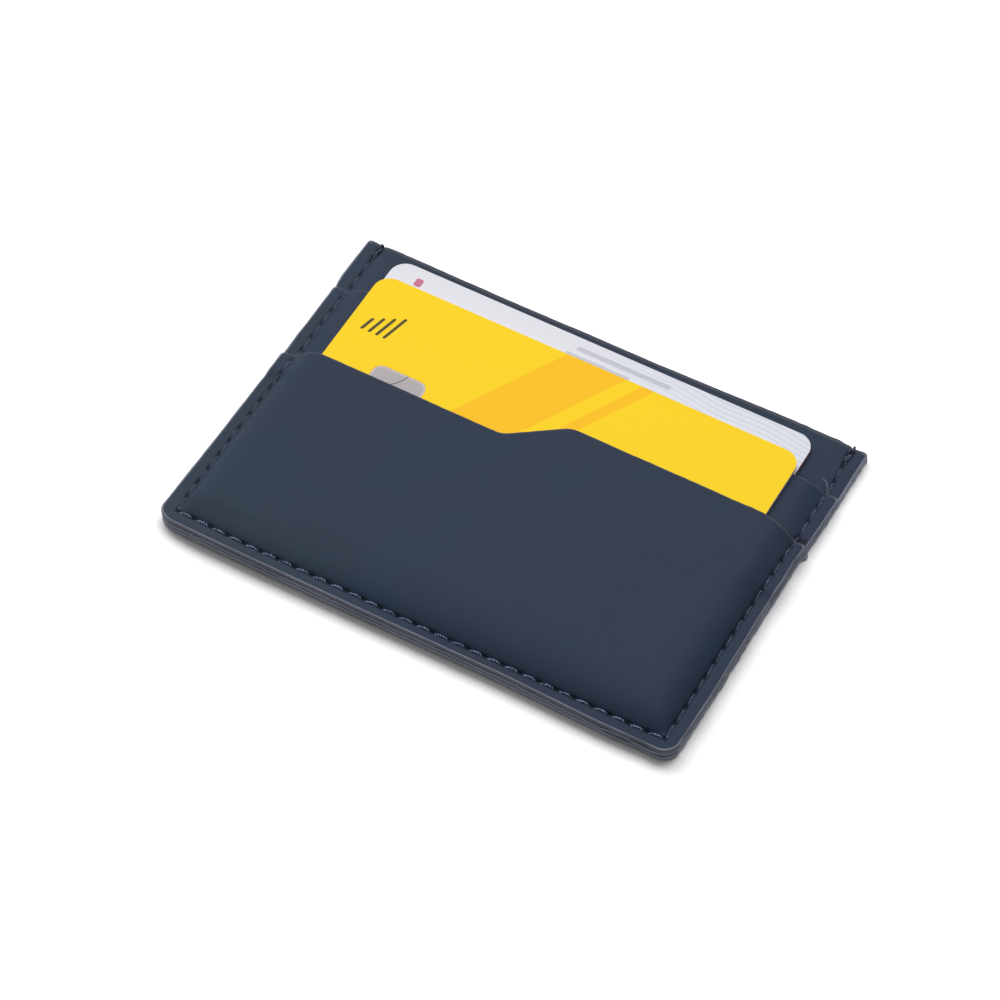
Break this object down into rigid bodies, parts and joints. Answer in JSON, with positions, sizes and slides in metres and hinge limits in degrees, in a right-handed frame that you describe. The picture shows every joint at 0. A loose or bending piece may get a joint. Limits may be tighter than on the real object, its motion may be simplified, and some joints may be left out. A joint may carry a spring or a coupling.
{
  "type": "card holder",
  "caption": "Flat stitched card holder with a slanted stepped front pocket, a middle pocket, a centre pocket and two removable cards.",
  "frame": {"origin": "centre of the flat rear face, which the holder rests on", "axes": "+X along the width, +Y towards the pocket mouths, +Z out of the front, away from the rear face"},
  "size_m": [0.1016, 0.0732, 0.0058],
  "materials": {
    "slate_leather": "matte soft-touch synthetic leather",
    "lining_cloth": "matte woven",
    "shield_foil": "satin metallised sheet",
    "edge_paint": "satin",
    "navy_thread": "satin polyester thread",
    "yellow_card": "satin printed plastic",
    "pale_card_back": "satin printed plastic",
    "contact_plate": "silver-coloured plated copper alloy",
    "chip_resin": "matte",
    "antenna_copper": "bare copper",
    "white_card": "satin printed plastic"
  },
  "bodies": {
    "holder": {"rear_cover": "slate_leather", "divider": "slate_leather", "middle_pocket": "slate_leather", "front_pocket": "slate_leather", "rear_lining": "lining_cloth", "divider_lining": "lining_cloth", "middle_pocket_lining": "lining_cloth", "front_pocket_lining": "lining_cloth", "rear_shield_foil": "shield_foil", "front_shield_foil": "shield_foil", "rear_edge_paint": "edge_paint", "divider_edge_paint": "edge_paint", "middle_edge_paint": "edge_paint", "front_edge_paint": "edge_paint", "seam_top_thread": "navy_thread", "seam_bobbin_thread": "navy_thread", "floor_top_thread": "navy_thread", "floor_bobbin_thread": "navy_thread"},
    "front_card": {"bank_card": "yellow_card", "bank_card_back_sheet": "pale_card_back", "bank_card_contact_plate": "contact_plate", "bank_card_chip": "chip_resin", "bank_card_antenna": "antenna_copper"},
    "rear_card": {"id_card": "white_card"}
  },
  "joints": [
    {"name": "front_card_slide", "type": "slide", "parent": "holder", "child": "front_card", "axis": [0, 1, 0], "range_m": [-0.0025, 0.0395]},
    {"name": "rear_card_slide", "type": "slide", "parent": "holder", "child": "rear_card", "axis": [0, 1, 0], "range_m": [-0.001, 0.0455]}
  ]
}
